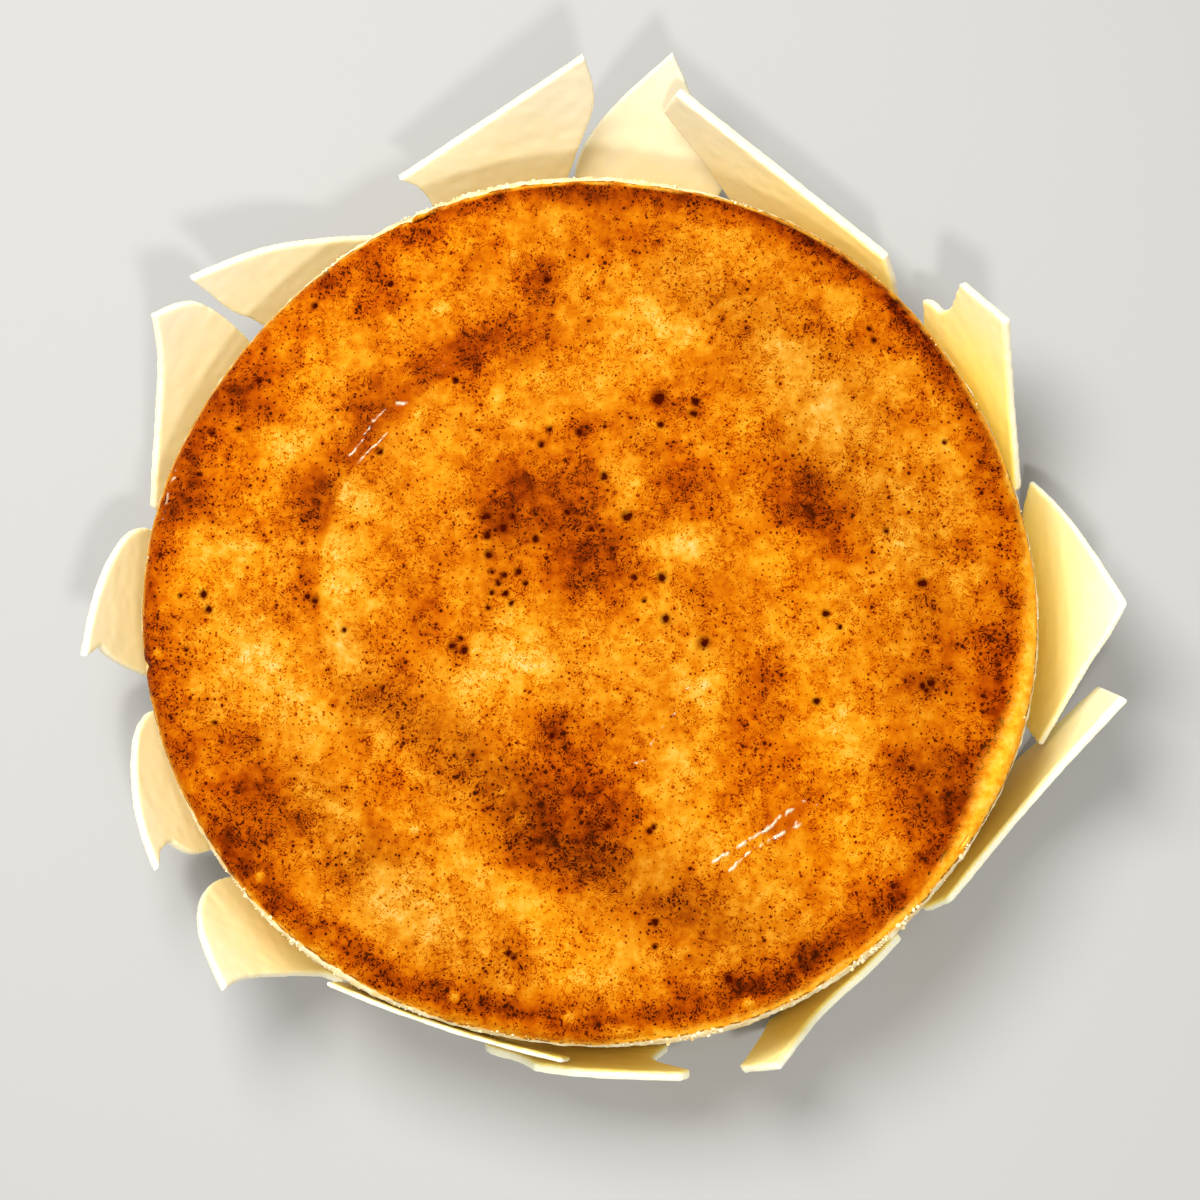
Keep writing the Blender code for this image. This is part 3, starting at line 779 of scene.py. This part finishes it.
def cake_material():
    graph = Graph("cheesecake_crust")
    wet_and_glint = graph.attribute("wet_and_glint")
    rough = graph.math("SUBTRACT", 1.0, graph.math("MAXIMUM", wet_and_glint, graph.attribute("glazed")))
    grain = graph.math("SUBTRACT", graph.noise(2.8, 3.0, roughness=0.6), 0.5)
    spot = graph.range(graph.attribute("spot"), 0.54, 0.68)
    marks, close = fine_marks(graph, grain, rough)
    tone = graph.math("ADD", graph.attribute("tone"), marks)
    colour = crust_colour(graph, skin_colour(graph, tone, grain, spot, wet_and_glint), grain)
    graph.feed(graph.shader.inputs["Base Color"], colour)
    graph.shader.inputs["Roughness"].default_value = 0.5
    graph.feed(graph.shader.inputs["Specular IOR Level"], graph.math("MULTIPLY_ADD", spot, -0.05, 0.05))
    graph.shader.inputs["Specular Tint"].default_value = (1.0, 0.45, 0.05, 1.0)
    graph.feed(graph.shader.inputs["Coat Weight"], wet_and_glint)
    graph.shader.inputs["Coat Roughness"].default_value = 0.13
    pits = graph.math("MULTIPLY", close, graph.range(graph.attribute("skin"), 0.0, 0.5))
    graph.bump(graph.math("MULTIPLY", graph.math("SUBTRACT", grain, pits), rough), 0.25, 0.7)
    return graph.material


def crumb_material():
    graph = Graph("crumbs")
    crumb = graph.ramp(graph.noise(1.2, 1.0), CRUMB_TONES, CRUMB_LIGHT)
    graph.feed(graph.shader.inputs["Base Color"], crumb)
    graph.shader.inputs["Roughness"].default_value = 0.6
    graph.shader.inputs["Specular IOR Level"].default_value = 0.2
    return graph.material


def build_crumbs():
    """The loose crumbs on the rim, as one piece: lumpy little balls sunk halfway into the shoulder."""
    dice = np.random.default_rng(11)
    points = []
    faces = []
    for first, last, many, small, large in CRUMB_ARCS:
        for _ in range(many):
            turn = math.radians(dice.uniform(first, last))
            size = small + (large - small) * dice.uniform() ** 2
            tilt = dice.uniform(0.75, 1.5)
            rim = float(outline.at(turn, outline.rim))
            out = rim - SHOULDER_WIDTH * (1.0 - math.sin(tilt))
            up = outline.height - SHOULDER_DEPTH * (1.0 - math.cos(tilt))
            net = bmesh.new()
            bmesh.ops.create_icosphere(net, subdivisions=2, radius=1.0)
            ball = np.array([point.co[:] for point in net.verts])
            triangles = np.array([[point.index for point in face.verts] for face in net.faces])
            net.free()
            ball *= (1.0 + 0.35 * noise(ball * 5.0 + dice.uniform(0.0, 90.0), 4.0, 51))[:, None]
            ball *= size * dice.uniform(0.6, 1.15, 3)
            faces.append(triangles + len(ball) * len(points))
            points.append(ball + np.array([out * math.cos(turn), out * math.sin(turn), up]))
    faces = np.concatenate(faces).tolist()
    add_piece("rim_crumbs", np.concatenate(points), faces, crumb_material())


# ------------------------------------------------------------------------------------------ the shards


def chocolate_material():
    graph = Graph("white_chocolate")
    cloud = graph.noise(18.0, 3.0)
    cream = graph.ramp(cloud, PAINTED_LIT_TONES)
    painted_shaded = graph.ramp(cloud, PAINTED_SHADED_TONES)
    # Painted light: paler where the chocolate is painted as more lit.
    colour = graph.mix(graph.attribute("lit"), painted_shaded, cream)
    # Painted yellow bounce light from the cake, on the faces near it.
    colour = graph.mix(graph.attribute("painted_bounce"), colour, linear(BOUNCE_LIGHT_COLOUR))
    # Painted shade beside the cake's rim.
    colour = graph.mix(graph.attribute("shade"), colour, linear(SHADE_COLOUR))
    # Painted highlight along the sharp edges.
    colour = graph.mix(graph.attribute("edge"), colour, linear(EDGE_HIGHLIGHT_COLOUR))
    graph.feed(graph.shader.inputs["Base Color"], colour)
    graph.shader.inputs["Roughness"].default_value = 0.38
    graph.shader.inputs["Subsurface Weight"].default_value = 0.6
    graph.shader.inputs["Subsurface Radius"].default_value = (1.0, 0.8, 0.4)
    graph.shader.inputs["Subsurface Scale"].default_value = 0.0025
    graph.bump(graph.noise(3.0, 3.0), 0.15, 0.35)
    return graph.material


def beside_cake(places, normals):
    """The painted yellow bounce light from the cake, how pale the chocolate is painted as if lit, and the
    painted shade beside the rim, at each place. Only faces towards the cake get the bounce light and the
    shade."""
    azimuth = np.arctan2(places[:, 1], places[:, 0])
    across = np.hypot(places[:, 0], places[:, 1])
    facing = smooth_step(-(normals[:, 0] * places[:, 0] + normals[:, 1] * places[:, 1]) / across * 3.0)
    away = np.maximum(across - outline.at(azimuth, outline.rim), 0.0) + 0.5 * noise(places, 2.5, 61)
    # Painted yellow bounce light from the cake, on faces towards it.
    painted_bounce = facing * round_rim(azimuth, CHOCOLATE, 1) * np.exp(-((away / BOUNCE_LIGHT_REACH) ** 2))
    width = round_rim(azimuth, CHOCOLATE, 3)
    # Painted shade beside the rim, on faces towards the cake.
    shade = facing * np.minimum(width, 1.0) * smooth_step(1.25 - away / np.maximum(width, 0.1))
    return np.clip(painted_bounce, 0.0, 1.0), round_rim(azimuth, CHOCOLATE, 2), SHADE_STRENGTH * shade


def edge_level(mesh, places, normals):
    """1 on the sharp outward edges of a mesh and 0 on its broad faces."""
    ends = np.empty(len(mesh.edges) * 2, np.int64)
    mesh.edges.foreach_get("vertices", ends)
    ends = ends.reshape(-1, 2)
    total = np.zeros_like(places)
    number = np.zeros(len(places))
    for here, there in (ends.T, ends.T[::-1]):
        np.add.at(total, here, places[there])
        np.add.at(number, here, 1.0)
    sunk = ((places - total / number[:, None]) * normals).sum(1) / SHARD_VOXEL
    return smooth_step(sunk * 5.0 - 0.3)


def remesh(mesh, voxel, smoothing):
    """The mesh rebuilt as an even net, its corners softened."""
    holder = bpy.data.objects.new("holder", mesh)
    bpy.context.scene.collection.objects.link(holder)
    modifier = holder.modifiers.new("net", "REMESH")
    modifier.mode = "VOXEL"
    modifier.voxel_size = voxel * MM
    modifier = holder.modifiers.new("soften", "SMOOTH")
    modifier.factor = 0.5
    modifier.iterations = smoothing
    graph = bpy.context.evaluated_depsgraph_get()
    made = bpy.data.meshes.new_from_object(holder.evaluated_get(graph))
    bpy.data.objects.remove(holder)
    return made


def build_shard(node, seed, material):
    """The node's shard as a finer and slightly uneven one of chocolate."""
    mesh = remesh(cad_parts[node].data.copy(), SHARD_VOXEL, SHARD_SMOOTHING)
    count = len(mesh.vertices)
    places = np.empty(count * 3)
    mesh.vertices.foreach_get("co", places)
    places = places.reshape(-1, 3) / MM
    normals = np.empty(count * 3)
    mesh.vertices.foreach_get("normal", normals)
    normals = normals.reshape(-1, 3)
    edge = edge_level(mesh, places, normals)
    painted_bounce, lit, shade = beside_cake(places, normals)
    push = 0.10 * noise(places, 3.0, seed) + 0.05 * noise(places, 12.0, seed + 1)
    places += normals * push[:, None]
    mesh.vertices.foreach_set("co", (places * MM).ravel())
    mesh.update()
    # Painted highlight along the sharp edges.
    store(mesh, "edge", EDGE_HIGHLIGHT_STRENGTH * edge)
    store(mesh, "painted_bounce", painted_bounce)
    store(mesh, "lit", lit)
    store(mesh, "shade", shade)
    mesh.name = "chocolate_" + node
    piece = place_piece("chocolate_" + node, mesh, material)
    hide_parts(node)


# -------------------------------------------------------------------------------- stage, lamps, camera


def direction(azimuth, elevation):
    azimuth = math.radians(azimuth)
    elevation = math.radians(elevation)
    flat = math.cos(elevation)
    return Vector((flat * math.cos(azimuth), flat * math.sin(azimuth), math.sin(elevation)))


def build_stage():
    bpy.ops.mesh.primitive_plane_add(size=FLOOR_SIZE * MM, location=(0, 0, 0))
    floor = bpy.context.object
    floor.name = "floor"
    graph = Graph("floor")
    graph.shader.inputs["Base Color"].default_value = linear(FLOOR_COLOUR)
    graph.shader.inputs["Roughness"].default_value = 0.9
    floor.data.materials.append(graph.material)


def build_light():
    world = bpy.data.worlds.new("surround")
    bpy.context.scene.world = world
    world.use_nodes = True
    background = world.node_tree.nodes["Background"]
    background.inputs["Color"].default_value = (1.0, 1.0, 1.0, 1.0)
    background.inputs["Strength"].default_value = SURROUND
    for name, (azimuth, elevation, distance, size, power) in LAMPS.items():
        lamp = bpy.data.lights.new(name, "AREA")
        lamp.shape = "DISK"
        lamp.size = size * MM
        lamp.energy = power
        holder = bpy.data.objects.new(name, lamp)
        bpy.context.scene.collection.objects.link(holder)
        away = direction(azimuth, elevation)
        holder.location = away * distance * MM
        holder.rotation_mode = "QUATERNION"
        holder.rotation_quaternion = away.to_track_quat("Z", "Y")


def build_camera():
    camera = bpy.data.cameras.new("camera")
    camera.sensor_width = SENSOR
    camera.lens = CAMERA_LENS
    camera.clip_start = 0.05
    holder = bpy.data.objects.new("camera", camera)
    bpy.context.scene.collection.objects.link(holder)
    back = direction(CAMERA_SIDE - 90.0, 90.0 - CAMERA_TILT)
    right = (Vector((1.0, 0.0, 0.0)) - back * back.x).normalized()
    up = back.cross(right)
    place = Matrix.Translation((Vector(CAMERA_TARGET) + back * CAMERA_DISTANCE) * MM)
    holder.matrix_world = place @ Matrix((right, up, back)).transposed().to_4x4()
    bpy.context.scene.camera = holder


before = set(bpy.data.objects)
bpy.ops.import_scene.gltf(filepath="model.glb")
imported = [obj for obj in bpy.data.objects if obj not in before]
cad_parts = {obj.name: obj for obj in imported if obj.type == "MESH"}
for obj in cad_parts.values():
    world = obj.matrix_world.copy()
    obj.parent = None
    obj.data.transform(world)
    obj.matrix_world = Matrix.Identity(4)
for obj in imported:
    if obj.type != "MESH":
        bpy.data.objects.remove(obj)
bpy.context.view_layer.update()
outline = Outline()
build_camera()
build_light()
build_stage()
build_cake()
build_crumbs()
chocolate = chocolate_material()
for number, name in enumerate(sorted(set(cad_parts) - {"cake"})):
    build_shard(name, 100 + 10 * number, chocolate)
bpy.context.scene.view_settings.view_transform = "Standard"
